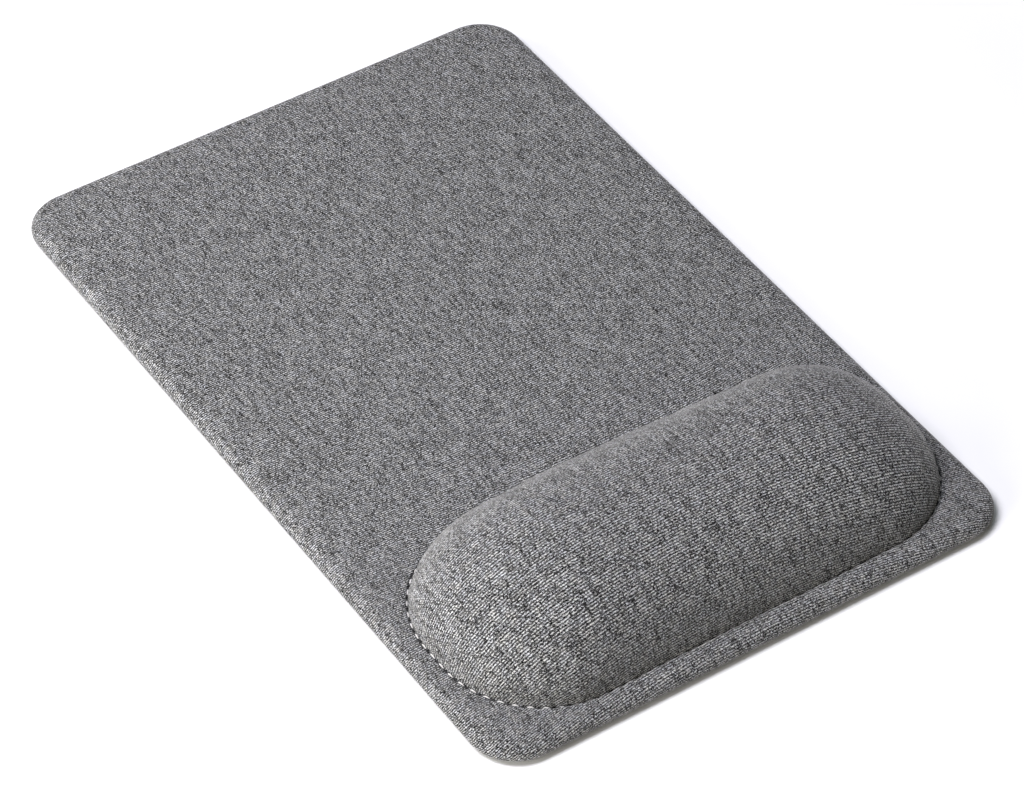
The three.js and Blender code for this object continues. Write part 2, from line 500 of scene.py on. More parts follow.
@dataclass(frozen=True)
class FoamFinish:
    """Foam with open or closed cells, read on Object coordinates."""

    name: str
    color: Color
    deep: Color
    cell: float
    relief: float
    wall_edges: tuple[float, float] = (0.1, 0.6)
    wall_share: float = 0.6
    cloud_scale: float = 0.08
    cloud_share: float = 0.5

    def material(self) -> bpy.types.Material:
        """Builds the foam.

        Returns:
            The foam's material.
        """
        build = MaterialBuild(self.name)
        at = build.place_in(self.cell)
        cells = build.node("TexVoronoi", {}, {"Vector": at, "Scale": 1.0}, "Distance")
        cloud = build.noise(at, self.cloud_scale, detail=2.0)
        wall = cells.smooth(*self.wall_edges)
        lit = (1.0 - wall * self.wall_share + (cloud - 0.5) * self.cloud_share).clamped()
        return build.finish(
            Base_Color=build.mix(lit, self.deep, self.color),
            Roughness=0.88 + cloud * 0.1,
            Normal=build.bump(1.0 - wall, self.relief),
        )


OPEN_CELLS = FoamFinish(
    name="cushion_foam", color=(0.72, 0.66, 0.52), deep=(0.5, 0.42, 0.28), cell=0.6 * MM, relief=0.1 * MM
)
CLOSED_CELLS = FoamFinish(
    name="sheet_foam", color=(0.045, 0.046, 0.05), deep=(0.02, 0.02, 0.022), cell=0.4 * MM, relief=0.05 * MM
)


@dataclass(frozen=True)
class BoardFinish:
    """Pressed grey board with short fibres and darker flecks."""

    pale: Color = (0.27, 0.25, 0.20)
    dull: Color = (0.23, 0.21, 0.17)
    fleck: Color = (0.11, 0.10, 0.09)
    fibre_scale: float = 0.9
    fibre_stretch: float = 0.35
    fleck_scale: float = 0.45
    fleck_edges: tuple[float, float] = (0.62, 0.72)
    relief: float = 0.05 * MM

    def material(self) -> bpy.types.Material:
        """Builds the board.

        Returns:
            The board's material.
        """
        build = MaterialBuild("grey_board")
        stretched = build.place_in(MM, self.fibre_stretch)
        fibres = build.noise(stretched, self.fibre_scale, detail=3.0, roughness=0.65)
        flecks = build.noise(build.place_in(MM), self.fleck_scale, detail=1.0).smooth(*self.fleck_edges)
        board = build.mix(fibres, self.dull, self.pale)
        return build.finish(
            Base_Color=build.mix(flecks, board, self.fleck),
            Roughness=0.9,
            Normal=build.bump(fibres, self.relief),
        )


@dataclass(frozen=True)
class GripFinish:
    """Matt non-slip sheet with small raised pips in offset rows and a fine grain, on Object coordinates."""

    color: Color = (0.017, 0.018, 0.020)
    worn: Color = (0.040, 0.041, 0.044)
    pip_pitch: float = 2.2 * MM
    row_share: float = math.sqrt(0.75)
    pip_radius: float = 0.62 * MM
    pip_crown: float = 0.55
    pip_share: float = 0.35
    grain_scale: float = 4.5
    grain_share: float = 0.2
    grain_relief: float = 0.16
    dust_scale: float = 0.06
    dust_edges: tuple[float, float] = (0.45, 0.75)
    dust_share: float = 0.25
    relief: float = 0.16 * MM

    def material(self) -> bpy.types.Material:
        """Builds the grip sheet.

        Returns:
            The base's material.
        """
        build = MaterialBuild("non_slip_sheet")
        x, y, _ = build.place()
        row_pitch = self.pip_pitch * self.row_share
        rows = y / row_pitch
        columns = x / self.pip_pitch + (rows.floor() * 0.5).fraction()
        across = (columns.fraction() - 0.5) * (self.pip_pitch / MM)
        along = (rows.fraction() - 0.5) * (row_pitch / MM)
        distance = (across**2.0 + along**2.0) ** 0.5
        pip = 1.0 - distance.smooth(self.pip_radius / MM * self.pip_crown, self.pip_radius / MM)
        at = build.place_in(MM)
        grain = build.noise(at, self.grain_scale, detail=2.0, roughness=0.6)
        dust = build.noise(at, self.dust_scale, detail=3.0, roughness=0.6).smooth(*self.dust_edges)
        wear = (pip * self.pip_share + grain * self.grain_share + dust * self.dust_share).clamped()
        return build.finish(
            Base_Color=build.mix(wear, self.color, self.worn),
            Roughness=0.78 + grain * 0.2 - pip * 0.12,
            Specular_IOR_Level=0.4,
            Normal=build.bump(pip + grain * self.grain_relief, self.relief),
        )


# outlines and grids


class Place(NamedTuple):
    """Places on a rounded rectangle.

    Across is true on a side that runs along X. The sign tells the two sides apart, and the share runs from
    -1 to 1 between the middles of a side's two corners.
    """

    across: Points
    sign: Points
    share: Points

    def laid(self, along: Points, out: Points, level: Points) -> Points:
        """Turns ways along each side and out of it into coordinates.

        Args:
            along: the way along the side.
            out: the way out of the middle.
            level: the height.

        Returns:
            One row of three coordinates for each place.
        """
        return np.stack([np.where(self.across, along, out), np.where(self.across, out, along), level], -1)


@dataclass(frozen=True)
class Outline:
    """Rounded rectangles at their levels. Each field is one number or a row of them, one for each point."""

    half_x: Points
    half_y: Points
    radius: Points
    level: Points

    def points(self, at: Place) -> Points:
        """Points on the outlines.

        Args:
            at: their places.

        Returns:
            One row of three coordinates for each point, about the outline's own centre.
        """
        radius = np.maximum(self.radius, LEAST_RADIUS)
        flat, run, turn = self.turned(at)
        along = np.sign(at.share) * (np.minimum(run, flat) + radius * np.sin(turn))
        out = at.sign * (np.where(at.across, self.half_y, self.half_x) - radius * (1 - np.cos(turn)))
        return at.laid(along, out, self.level + np.zeros_like(along))

    def turned(self, at: Place) -> tuple[Points, Points, Points]:
        """Follows each side into its corner.

        Args:
            at: the places to be reached.

        Returns:
            The side's straight half length, the way along it, and how far its corner has turned by then.
        """
        radius = np.maximum(self.radius, LEAST_RADIUS)
        flat = np.where(at.across, self.half_x, self.half_y) - radius
        run = np.abs(at.share) * (flat + radius * QUARTER / 2)
        return flat, run, np.maximum(run - flat, 0) / radius

    def outward(self, at: Place) -> Points:
        """The level direction that faces out of the outline.

        Args:
            at: the places.

        Returns:
            One direction for each place.
        """
        turn = self.turned(at)[2]
        out = at.sign * np.cos(turn)
        return at.laid(np.sign(at.share) * np.sin(turn), out, 0 * out)

    def grown(self, by: Points) -> "Outline":
        """The outline set out by a distance, corners and all."""
        return Outline(self.half_x + by, self.half_y + by, self.radius + by, self.level)


class Steps(NamedTuple):
    """Whole-number steps of each vertex from a grid's centre, to the right and to the back."""

    right: Points
    back: Points


@dataclass(frozen=True)
class NestedGrid:
    """A grid of faces read as rings nested round a short ridge line, so that a closed dome has no pole."""

    ridge: int
    rings: int

    @property
    def reach(self) -> tuple[int, int]:
        """How many steps lie between the grid's centre and its right and back edges."""
        return self.ridge + self.rings, self.rings

    def sheet(self, name: str) -> tuple[bpy.types.Object, Steps]:
        """Makes the flat grid.

        Args:
            name: the new object's name.

        Returns:
            The object, and the steps of its vertices.
        """
        maker = bmesh.new()
        wide, deep = self.reach
        bmesh.ops.create_grid(maker, x_segments=2 * wide, y_segments=2 * deep, size=1.0)
        obj = mesh_object(name, maker)
        points = read_points(obj.data)
        return obj, Steps(*(np.rint(points[:, axis] * self.reach[axis]).astype(int) for axis in (0, 1)))

    def polar(self, steps: Steps) -> tuple[Points, Place]:
        """Reads steps as places on rings.

        Args:
            steps: the steps of some vertices.

        Returns:
            Their rings, and their places on them.
        """
        right, back = steps
        ring = np.maximum(np.maximum(np.abs(back), np.abs(right) - self.ridge), 0)
        across = np.abs(back) >= ring
        sign = np.where(np.where(across, back, right) < 0, -1.0, 1.0)
        share = np.where(across, right / (ring + self.ridge), back / np.maximum(ring, 1))
        return ring, Place(across, sign, share)

    def cells(self, steps: Steps) -> tuple[Points, Points]:
        """The row and the column of each vertex in a table of the grid."""
        wide, deep = self.reach
        return steps.back + deep, steps.right + wide

    def table(self, steps: Steps, values: Points) -> Points:
        """Lays values of vertices out as the grid's rows and columns.

        Args:
            steps: the steps of the vertices.
            values: one number or row for each of them.

        Returns:
            The table.
        """
        wide, deep = self.reach
        out = np.zeros((2 * deep + 1, 2 * wide + 1, *values.shape[1:]))
        out[self.cells(steps)] = values
        return out


# meshes and objects


def new_object(name: str, data: bpy.types.ID) -> bpy.types.Object:
    """Adds an object to the scene.

    Args:
        name: its name.
        data: its mesh, lamp or camera.

    Returns:
        The object.
    """
    obj = bpy.data.objects.new(name, data)
    bpy.context.scene.collection.objects.link(obj)
    return obj


def mesh_object(name: str, maker: bmesh.types.BMesh) -> bpy.types.Object:
    """Hands a finished mesh maker over as an object.

    Args:
        name: the object's name.
        maker: the mesh maker, which is freed.

    Returns:
        The object.
    """
    mesh = bpy.data.meshes.new(name)
    maker.to_mesh(mesh)
    maker.free()
    return new_object(name, mesh)


class Reading(Enum):
    """What is read of a mesh's vertices."""

    PLACES = "co"
    NORMALS = "normal"


def read_points(mesh: bpy.types.Mesh, kind: Reading = Reading.PLACES) -> Points:
    """Reads the vertices of a mesh.

    Args:
        mesh: the mesh.
        kind: what is read of them.

    Returns:
        One row of three numbers for each vertex.
    """
    flat = np.zeros(len(mesh.vertices) * 3, np.float32)
    mesh.vertices.foreach_get(kind.value, flat)
    return flat.reshape(-1, 3).astype(float)


def write_points(mesh: bpy.types.Mesh, points: Points) -> None:
    """Moves the vertices of a mesh to new places."""
    mesh.vertices.foreach_set("co", points.astype(np.float32).ravel())
    mesh.update()


def write_map(mesh: bpy.types.Mesh, name: str, places: Points) -> None:
    """Gives a mesh a UV map.

    Args:
        mesh: the mesh.
        name: the map's name.
        places: one place for each vertex.
    """
    layer = mesh.uv_layers.new(name=name)
    index = np.zeros(len(mesh.loops), np.int32)
    mesh.loops.foreach_get("vertex_index", index)
    layer.uv.foreach_set("vector", places[index].astype(np.float32).ravel())


def report(obj: bpy.types.Object) -> None:
    """Logs a piece and its count of faces."""
    LOG.info("%s: %d faces", obj.name, len(obj.data.polygons))


def dress(obj: bpy.types.Object, material: bpy.types.Material, node: str) -> None:
    """Gives a new piece its finish and puts it in the place of a CAD node.

    Args:
        obj: the piece.
        material: its finish.
        node: the CAD node.
    """
    obj.data.polygons.foreach_set("use_smooth", np.ones(len(obj.data.polygons), bool))
    obj.data.update()
    obj.data.materials.append(material)
    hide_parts(node)
    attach(obj, BODY)
    report(obj)


def aim(obj: bpy.types.Object, bearing: Spot, target: Spot = (0.0, 0.0, 0.0)) -> None:
    """Puts a lamp or a camera somewhere round its target and turns it to face it.

    Args:
        obj: the lamp or camera.
        bearing: azimuth and elevation in degrees and the distance. The azimuth turns from +X towards +Y.
        target: the target's coordinates.
    """
    azimuth, elevation = (math.radians(angle) for angle in bearing[:2])
    level = math.cos(elevation)
    away = Vector((math.cos(azimuth) * level, math.sin(azimuth) * level, math.sin(elevation)))
    obj.location = Vector(target) + away * bearing[2]
    obj.rotation_mode = "QUATERNION"
    obj.rotation_quaternion = (-away).to_track_quat("-Z", "Y")


# rows of numbers


def soft_step(value: Points, low: float, high: float) -> Points:
    """A soft step from nought at low to one at high."""
    t = np.clip((value - low) / (high - low), 0, 1)
    return t * t * (3 - 2 * t)


def graded(t: Points, evenness: float) -> Points:
    """Steps from nought to one that start short. With an evenness of one they stay even."""
    return evenness * t + (1 - evenness) * t * t


def through(ring: Points, start: int, count: int) -> Points:
    """The share of a zone that lies behind each ring. The zone has a count of rings past its start."""
    return np.clip((ring - start) / count, 0, 1)


def read_round(row: tuple[float, ...], around: Points) -> Points:
    """Reads a row of values along a closed way, eased from one value to the next.

    Args:
        row: the values, at even steps.
        around: places along the way, from 0 to 1.

    Returns:
        The value at each place.
    """
    values = np.array(row)
    place = (around % 1) * len(row)
    low = np.floor(place).astype(int)
    t = soft_step(place - low, 0, 1)
    return values[low % len(row)] * (1 - t) + values[(low + 1) % len(row)] * t


# sizes


@dataclass(frozen=True)
class PadSizes:
    """Sizes of the pad and its cover, as in the CAD model."""

    width: float = 150 * MM
    length: float = 230 * MM
    corner_radius: float = 12.5 * MM
    hem_level: float = 1.0 * MM
    top_level: float = 5.4 * MM
    cover_thickness: float = 0.8 * MM
    foam_level: float = 1.95 * MM
    rim_top_depth: float = 2.8 * MM
    rim_bottom_depth: float = 1.4 * MM
    rim_widest_share: float = 0.32
    rim_upper_share: float = 0.6
    rim_cloth: float = 3.5 * MM
    hem_width: float = 12 * MM
    hem_corner_radius: float = 4 * MM
    edge_sink: float = 0.9 * MM
    edge_reach: float = 9.0 * MM
    edge_power: float = 2.5

    @property
    def top(self) -> Outline:
        """The outline where the level top ends and the rim begins."""
        return self.inset(self.rim_top_depth, self.top_level)

    def eased(self, points: Points, share: Points) -> Points:
        """Lets the edge sink where the taut cloth presses on the foam.

        Args:
            points: places on the cover.
            share: how far each place may sink, from 0 to 1.

        Returns:
            The places, lower towards the edge.
        """
        over = np.abs(points[:, :2]) - np.array([self.width / 2, self.length / 2]) + self.corner_radius
        inside = self.corner_radius - np.linalg.norm(np.maximum(over, 0), axis=1) - np.minimum(over.max(1), 0)
        widest = self.hem_level + (self.top_level - self.hem_level) * self.rim_widest_share
        up = np.clip((points[:, 2] - widest) / (self.top_level - widest), 0, 1)
        sink = self.edge_sink * np.clip(1 - inside / self.edge_reach, 0, 1) ** self.edge_power * up * share
        return points - sink[:, None] * [0, 0, 1]

    def inset(self, depth: Points, level: Points) -> Outline:
        """The pad's outline set in by a depth, at a level."""
        radius = np.maximum(self.corner_radius - depth, self.hem_corner_radius)
        return Outline(self.width / 2 - depth, self.length / 2 - depth, radius, level)

    def rim(self, share: Points) -> tuple[Points, Points]:
        """The rim's section.

        Args:
            share: from 0 at the pad's top to 1 at the hem.

        Returns:
            How far the outline is set in, and its level.
        """
        height = self.top_level - self.hem_level
        widest = height * self.rim_widest_share
        upper = self.rim_upper_share
        top = np.clip(share / upper, 0, 1) * QUARTER
        bottom = np.clip((share - upper) / (1 - upper), 0, 1) * QUARTER
        depth = self.rim_top_depth * (1 - np.sin(top)) + self.rim_bottom_depth * (1 - np.cos(bottom))
        level = self.hem_level + (height - widest) * np.cos(top) + widest * (1 - np.sin(bottom))
        return depth, level


@dataclass(frozen=True)
class RestSizes:
    """Sizes of the wrist rest, as in the CAD model."""

    foot_half_x: float = 69.7 * MM
    foot_half_y: float = 31.4 * MM
    centre_y: float = -77.3 * MM
    floor_level: float = 4.5 * MM
    height: float = 22.1 * MM
    corner_radius: float = 27.3 * MM
    end_run: float = 41.5 * MM
    tuck: float = 0.5 * MM
    crown_power: float = 2.2
    end_flat_share: float = 0.04
    tuck_angle_share: float = 0.3
    swell_foot_share: float = 0.35
    swell_crest_share: float = 0.5
    samples: int = 2001
    shift: Spot = (1.05 * MM, -0.85 * MM, 0.0)
    foot_swell: tuple[float, ...] = (
        -1.4, -0.9, -0.65, -0.5, -0.45, -0.5, -0.8, -0.2, -0.25, -0.55, -0.35, -0.7, -0.8, -0.75, -1.0, -0.8
    )
    crown_swell: tuple[float, ...] = (
        -0.2, 1.0, -0.1, 0.5, 1.15, 1.4, 0.35, -0.3, -0.2, -0.2, -0.2, -0.2, -0.3, -0.4, -0.6, -0.85
    )

    def swell(self, around: Points, share: Points) -> Points:
        """How far the hand-sewn rest swells out of its even form.

        Args:
            around: the place along the seam, from 0 to 1.
            share: the angle up the crown, from 0 at the foot to 1 at the crest.

        Returns:
            The level distance outward.
        """
        foot, crown = (read_round(row, around) for row in (self.foot_swell, self.crown_swell))
        up = soft_step(share, 0, self.swell_foot_share)
        return (foot * (1 - up) + crown * up * soft_step(1 - share, 0, self.swell_crest_share)) * MM

    def crown(self, share: Points) -> Outline:
        """The crown's outlines.

        Args:
            share: the angle up the crown, from 0 at the foot to 1 at the crest.

        Returns:
            The outlines, about the rest's own centre.
        """
        angle = share * QUARTER
        left = np.maximum(np.cos(angle), 0) ** (2 / self.crown_power)
        tuck = self.tuck * np.sin(math.pi * np.minimum(share / self.tuck_angle_share, 1))
        half_x = self.foot_half_x - self.end_run * (1 - left) + tuck
        half_y = self.foot_half_y * left + tuck
        radius = np.minimum(self.corner_radius, half_y * (1 - self.end_flat_share))
        return Outline(half_x, half_y, radius, self.floor_level + self.height * np.sin(angle))

    def even_shares(self, runs: Points) -> Points:
        """Finds angle shares that lie evenly over the surface.

        Args:
            runs: shares of the way over the surface from the foot to the crest.

        Returns:
            The angle share at each of them.
        """
        fine = np.linspace(0, 1, self.samples)
        outline = self.crown(fine)
        steps = np.hypot(np.diff(outline.half_y), np.diff(outline.level))
        way = np.concatenate([[0], np.cumsum(steps)])
        return np.interp(runs, way / way[-1], fine)

    def foot(self, growth: Points, level: Points) -> Outline:
        """The foot's outline grown by a distance, at a level."""
        return Outline(self.foot_half_x, self.foot_half_y, self.corner_radius, level).grown(growth)


@dataclass(frozen=True)
class SeamSizes:
    """The sewn seam round the rest's foot, as sections from the cushion's wall out to the pad's top."""

    stitches: int = 98
    thread: float = 0.36 * MM
    open_growth: tuple[float, ...] = (0.14, 0.18, 0.27, 0.50, 0.68, 0.84, 1.02, 1.25)
    open_rise: tuple[float, ...] = (0.88, 0.60, 0.28, 0.40, 0.46, 0.47, 0.47, 0.48)
    pinched_growth: tuple[float, ...] = (0.30, 0.18, 0.12, 0.36, 0.60, 0.58, 0.50, 1.25)
    pinched_rise: tuple[float, ...] = (0.88, 0.58, 0.30, 0.10, 0.30, 0.60, 0.84, 0.95)
    pinch: tuple[float, ...] = (
        1.0, 0.9, 0.6, 0.4, 0.3, 0.3, 0.4, 0.5, 0.0, 0.15, 0.9, 1.0, 1.0, 1.0, 1.0, 1.0
    )
    lip_reach: float = 2.8 * MM
    pucker: float = 0.11 * MM
    pucker_reach: float = 1.7 * MM
    first_hole: float = 0.25
    floor_step: float = 3.0

    @property
    def rings(self) -> int:
        """How many rings one section has."""
        return len(self.open_growth)


@dataclass(frozen=True)
class SeamLine:
    """The way round the rest's foot, and the seam's section along it."""

    rest: RestSizes = field(default_factory=RestSizes)
    seam: SeamSizes = field(default_factory=SeamSizes)

    @property
    def runs(self) -> tuple[float, float]:
        """The lengths of a side along X and of an end, each with half of both its corners."""
        r = self.rest.corner_radius
        return 2 * (self.rest.foot_half_x - r) + r * QUARTER, 2 * (self.rest.foot_half_y - r) + r * QUARTER

    def around(self, at: Place) -> Points:
        """Counts places along the seam, from 0 at the right end's middle to 1, past the back first.

        Args:
            at: the places on the rest's outline.

        Returns:
            The place of each along the seam.
        """
        side, end = self.runs
        back, front = end / 2 + side / 2 * (1 - at.share), end * 1.5 + side + side / 2 * (1 + at.share)
        right, left = end / 2 * at.share, side + end - end / 2 * at.share
        plus = at.sign > 0
        way = np.where(at.across, np.where(plus, back, front), np.where(plus, right, left))
        return (way / (2 * (side + end))) % 1

    def at(self, around: Points) -> Place:
        """Finds the outline's places again. It undoes `around`.

        Args:
            around: places along the seam.

        Returns:
            The places on the rest's outline.
        """
        side, end = self.runs
        way = (around % 1) * 2 * (side + end)
        zone = np.digitize(way, [end / 2, end / 2 + side, end * 1.5 + side, end * 1.5 + 2 * side])
        shares = [
            2 * way / end,
            1 - 2 * (way - end / 2) / side,
            1 - 2 * (way - end / 2 - side) / end,
            2 * (way - end * 1.5 - side) / side - 1,
            2 * (way - end * 1.5 - 2 * side) / end - 1,
        ]
        sign = np.where((zone == 2) | (zone == 3), -1.0, 1.0)
        return Place((zone == 1) | (zone == 3), sign, np.choose(zone, shares))

    def lean(self, at: Place, angle: Points) -> Points:
        """How far the rest stands out of its even form.

        Args:
            at: places on its outline.
            angle: their angle shares up the crown.

        Returns:
            The way from the even rest's own coordinates to the pad's, one row for each place.
        """
        swell = self.rest.swell(self.around(at), angle)
        out = self.rest.foot(0.0, 0.0).outward(at)
        return np.array([0, self.rest.centre_y, 0]) + self.rest.shift + out * swell[:, None]

    def crown(self, at: Place, angle: Points) -> Points:
        """Points on the rest's crown at angle shares."""
        return self.rest.crown(angle).points(at) + self.lean(at, angle)

    def section(self, at: Place, step: Points) -> Points:
        """Points in the seam.

        Args:
            at: places on the rest's outline.
            step: how far out each point is, counted in steps of the seam's section. It need not be whole.

        Returns:
            One row of three coordinates for each point.
        """
        pinch = read_round(self.seam.pinch, self.around(at))
        growth = self.blend(pinch, step, self.seam.open_growth, self.seam.pinched_growth)
        rise = self.blend(pinch, step, self.seam.open_rise, self.seam.pinched_rise)
        return self.rest.foot(growth, self.rest.floor_level + rise).points(at) + self.lean(at, 0 * step)

    def floor(self, at: Place) -> Points:
        """Points on the seam's floor, where the thread lies."""
        return self.section(at, np.full(len(at.share), self.seam.floor_step))

    @staticmethod
    def blend(pinch: Points, step: Points, open_row: tuple, pinched_row: tuple) -> Points:
        """Reads two rows of millimetres at steps and blends them.

        Args:
            pinch: how far the seam is pulled shut at each point, from 0 to 1.
            step: where each point reads the rows.
            open_row: the row of an open seam.
            pinched_row: the row of a seam that is pulled shut.

        Returns:
            One length for each point.
        """
        opened, pinched = (np.interp(step, np.arange(len(row)), row) for row in (open_row, pinched_row))
        return (opened * (1 - pinch) + pinched * pinch) * MM


# the cloth's lay


@dataclass(frozen=True)
class ClothLay:
    """Finds where each point of the stretched cover lay on the flat cloth.

    Inside a held ring, the cloth evens its stretch out over the pad and the crowned rest, so its rows bow as
    they do on the real cover.
    """

    front_pull: float = 10.0 * MM
    front_start: float = 96.0 * MM
    front_end: float = 108.0 * MM
    front_half_width: float = 72.0 * MM
    back_pull: float = -4.5 * MM
    back_start: float = -110.0 * MM
    back_end: float = 55.0 * MM
    side_pull: float = 4.0 * MM
    side_pull_centre: float = -77.3 * MM
    side_pull_reach: float = 42.0 * MM
    side_pull_ease: float = 60.0 * MM
    strides: tuple[int, ...] = (8, 4, 2, 1)
    steps: int = 260

    def pulled(self, points: Points) -> Points:
        """Flat-cloth places of the held ring.

        Args:
            points: the ring's places on the pad.

        Returns:
            The places of the same points on the flat cloth.
        """
        x, y = points[..., 0], points[..., 1]
        front = soft_step(-y, self.front_start, self.front_end)
        bow = self.front_pull * front * (1 - (x / self.front_half_width) ** 2)
        back = self.back_pull * soft_step(y, self.back_start, self.back_end)
        waist = np.exp(-(((y - self.side_pull_centre) / self.side_pull_reach) ** 2))
        inward = self.side_pull * waist * np.clip(x / self.side_pull_ease, -1, 1)
        return np.stack([x + inward, y - bow - back], -1)

    @staticmethod
    def cotangent(corner: Points, first: Points, second: Points) -> Points:
        """Half the cotangent of the angle at a corner.

        Args:
            corner: the corner of each face.
            first: its neighbour on one side.
            second: its neighbour on the other side.

        Returns:
            One number for each face.
        """
        a, b = first - corner, second - corner
        area = np.linalg.norm(np.cross(a, b), axis=-1)
        return 0.5 * (a * b).sum(-1) / np.maximum(area, 1e-12)

    @staticmethod
    def spread(values: Points, step: int) -> Points:
        """Fills the rows and columns between coarse ones in evenly.

        Args:
            values: the coarse rows and columns.
            step: how many fine steps one coarse step has.

        Returns:
            The fine rows and columns.
        """
        for axis in (0, 1):
            fine = np.arange((values.shape[axis] - 1) * step + 1)
            low = np.minimum(fine // step, values.shape[axis] - 2)
            share = np.expand_dims((fine - low * step) / step, (1 - axis, 2))
            values = np.take(values, low, axis) * (1 - share) + np.take(values, low + 1, axis) * share
        return values

    def solve(self, places: Points, held: Points, start: Points) -> Points:
        """Evens the cloth out, first on coarse rows and columns and then on finer ones.

        Args:
            places: the surface as rows and columns of points.
            held: true where the flat place is given.
            start: flat places, right where held.

        Returns:
            Flat places for every point.
        """
        flat = start.copy()
        for step in self.strides:
            pick = (slice(None, None, step),) * 2
            change = self.relax(places[pick], held[pick], flat[pick]) - flat[pick]
            flat += np.where(held[..., None], 0, self.spread(change, step))
        return flat

    def relax(self, places: Points, held: Points, start: Points) -> Points:
        """Evens the cloth out on one set of rows and columns.

        Args:
            places: the surface as rows and columns of points.
            held: true where the flat place is given.
            start: flat places, right where held.

        Returns:
            Flat places for every point.
        """
        a, b, c, d = places[:-1, :-1], places[:-1, 1:], places[1:, 1:], places[1:, :-1]
        level, upright = np.zeros(places.shape[:2]), np.zeros(places.shape[:2])
        level[:-1, :-1] += self.cotangent(c, a, b)
        level[1:, :-1] += self.cotangent(a, c, d)
        upright[:-1, 1:] += self.cotangent(a, b, c)
        upright[:-1, :-1] += self.cotangent(c, a, d)
        slant = self.cotangent(b, a, c) + self.cotangent(d, a, c)
        links = ((level[:, :-1], (0, 1)), (upright[:-1], (1, 0)), (slant, (1, 1)))
        rows, columns = held.shape
        ends = []
        for weight, (down, right) in links:
            near = (slice(0, rows - down), slice(0, columns - right))
            ends.append((weight, near, (slice(down, rows), slice(right, columns))))
        weights = np.zeros(held.shape)
        for weight, near, far in ends:
            weights[near] += weight
            weights[far] += weight
        free = ~held[..., None]

        def pull(values: Points) -> Points:
            """Adds up what the links exert.

            Args:
                values: the flat places.

            Returns:
                The pull on each point, nought where it is held.
            """
            out = np.zeros_like(values)
            for weight, near, far in ends:
                force = weight[..., None] * (values[near] - values[far])
                out[near] += force
                out[far] -= force
            return np.where(free, out, 0)

        flat = start.copy()
        rest = -pull(flat)
        first = float(np.abs(rest).sum())
        way = rest / weights[..., None]
        energy = (rest * way).sum((0, 1))
        for _ in range(self.steps):
            push = pull(way)
            stride = energy / np.maximum((way * push).sum((0, 1)), 1e-30)
            flat += stride * way
            rest -= stride * push
            ready = rest / weights[..., None]
            fresh = (rest * ready).sum((0, 1))
            way = ready + way * (fresh / np.maximum(energy, 1e-30))
            energy = fresh
        left = float(np.abs(rest).sum()) / first
        LOG.info("cloth lay: %d x %d, what is left %.2e", rows, columns, left)
        return flat


@dataclass(frozen=True)
class PressedCloth:
    """A cloth simulation of the cover over the rest: the foam presses it out and the needle holes hold it."""

    scale: float = 10.0
    frames: int = 20
    pressure: float = 4.0
    cap: float = 0.7 * MM
    settings: tuple[tuple[str, float], ...] = (
        ("quality", 6),
        ("mass", 0.15),
        ("tension_stiffness", 25),
        ("compression_stiffness", 25),
        ("shear_stiffness", 12),
        ("bending_stiffness", 1.5),
    )

    def run(self, obj: bpy.types.Object, hold: Points) -> Points:
        """Simulates one sheet.

        Args:
            obj: the sheet, in place.
            hold: how firmly each vertex is held, from 0 to 1.

        Returns:
            How far each vertex moves, capped.
        """
        before = read_points(obj.data)
        write_points(obj.data, before * self.scale)
        group = obj.vertex_groups.new(name="held")
        for index, weight in enumerate(hold):
            if weight > 0:
                group.add([index], float(weight), "REPLACE")
        cloth = obj.modifiers.new("press", "CLOTH")
        for name, value in self.settings:
            setattr(cloth.settings, name, value)
        cloth.settings.vertex_group_mass = "held"
        cloth.settings.use_pressure = True
        cloth.settings.uniform_pressure_force = self.pressure
        cloth.settings.effector_weights.gravity = 0
        cloth.collision_settings.use_collision = False
        cloth.point_cache.frame_start, cloth.point_cache.frame_end = 1, self.frames
        scene = bpy.context.scene
        for step in range(1, self.frames + 1):
            scene.frame_set(step)
        shown = obj.evaluated_get(bpy.context.evaluated_depsgraph_get())
        move = read_points(shown.to_mesh()) / self.scale - before
        shown.to_mesh_clear()
        scene.frame_set(1)
        length = np.linalg.norm(move, axis=1)
        LOG.info("pressed cloth: moved %.2f mm at most, before the cap", length.max() / MM)
        return move * np.minimum(1, self.cap / np.maximum(length, 1e-12))[:, None]


# sub-assemblies


